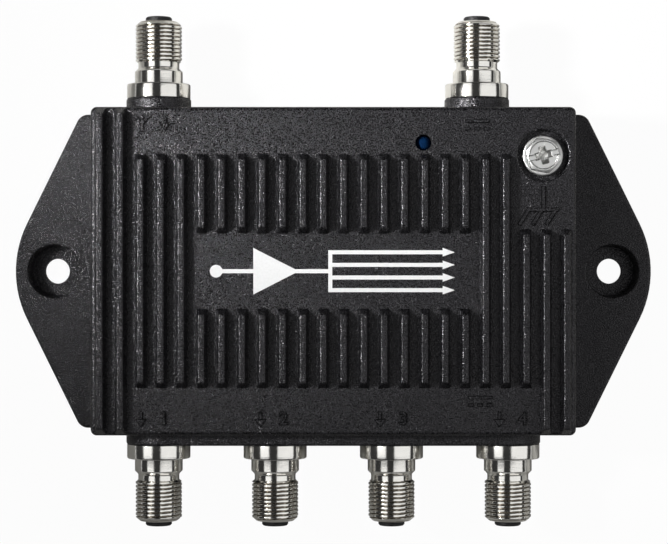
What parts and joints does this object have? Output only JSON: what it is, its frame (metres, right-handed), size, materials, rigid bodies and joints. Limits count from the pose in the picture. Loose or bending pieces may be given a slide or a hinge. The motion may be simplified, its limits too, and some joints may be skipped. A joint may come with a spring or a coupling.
{
  "type": "antenna distribution amplifier",
  "caption": "Flat black die-cast box with finned front, screw ears, threaded coaxial ports along two edges, status light and earthing screw; splits an amplified aerial signal.",
  "frame": {"origin": "middle of the back plane, which lies on the wall", "axes": "+X along the box to the right as seen from the front, +Y to the input side, +Z out of the front"},
  "size_m": [0.131, 0.103, 0.0252],
  "materials": {
    "cast_body": "fine textured black powder coat on die-cast metal",
    "cover_plate": "fine textured black powder coat",
    "seal": "matt",
    "nickel": "bright nickel plate on turned brass",
    "zinc_plate": "bright zinc plate",
    "port_insulator": "moulded, satin",
    "bead": "moulded",
    "contact_metal": "gold flash",
    "board": "green solder mask on glass fibre",
    "steel": "zinc plated",
    "solder": "bright",
    "light_lens": "clear dark blue, unlit",
    "lead_metal": "tinned",
    "chip_black": "moulded",
    "pad_grey": "matt",
    "tin_can": "tinned sheet",
    "can_aluminium": "satin",
    "ferrite": "matt sintered",
    "copper_wire": "enamelled",
    "arrester_white": "glazed",
    "chip_part": "sintered"
  },
  "bodies": {
    "amplifier": {"housing": "cast_body", "back_cover": "cover_plate", "cover_gasket": "seal", "cover_screws": "steel", "antenna_in_shell": "nickel", "antenna_in_insulator": "port_insulator", "antenna_in_contact": "contact_metal", "antenna_in_rear_bead": "bead", "dc_in_shell": "nickel", "dc_in_insulator": "port_insulator", "dc_in_contact": "contact_metal", "dc_in_rear_bead": "bead", "out_1_shell": "nickel", "out_1_insulator": "port_insulator", "out_1_contact": "contact_metal", "out_1_rear_bead": "bead", "out_2_shell": "nickel", "out_2_insulator": "port_insulator", "out_2_contact": "contact_metal", "out_2_rear_bead": "bead", "out_3_shell": "nickel", "out_3_insulator": "port_insulator", "out_3_contact": "contact_metal", "out_3_rear_bead": "bead", "out_4_shell": "nickel", "out_4_insulator": "port_insulator", "out_4_contact": "contact_metal", "out_4_rear_bead": "bead", "circuit_board": "board", "board_screws": "steel", "solder_joints": "solder", "led_lens": "light_lens", "led_leads": "lead_metal", "amplifier_chip": "chip_black", "chip_leads": "lead_metal", "thermal_pad": "pad_grey", "shield_can": "tin_can", "voltage_regulator": "chip_black", "regulator_tab": "lead_metal", "filter_capacitors": "can_aluminium", "capacitor_bases": "chip_black", "choke_core": "ferrite", "choke_winding": "copper_wire", "surge_arrester": "arrester_white", "splitter_cores": "ferrite", "splitter_windings": "copper_wire", "chip_capacitors": "chip_part", "chip_inductors": "ferrite", "chip_resistors": "chip_black"},
    "washer": {"ground_washer": "zinc_plate"},
    "screw": {"ground_screw": "zinc_plate"}
  },
  "joints": [
    {"name": "ground_screw_lift", "type": "slide", "parent": "amplifier", "child": "washer", "axis": [0, 0, 1], "range_m": [0, 0.00317]},
    {"name": "ground_screw_turn", "type": "hinge", "parent": "washer", "child": "screw", "pos_m": [0.0415, 0.0229, 0.021], "axis": [0, 0, 1], "range_deg": [0, 1440]}
  ],
  "couplings": [
    {"joint": "ground_screw_turn", "follows": "ground_screw_lift", "rad_per_m": 7915.8}
  ]
}
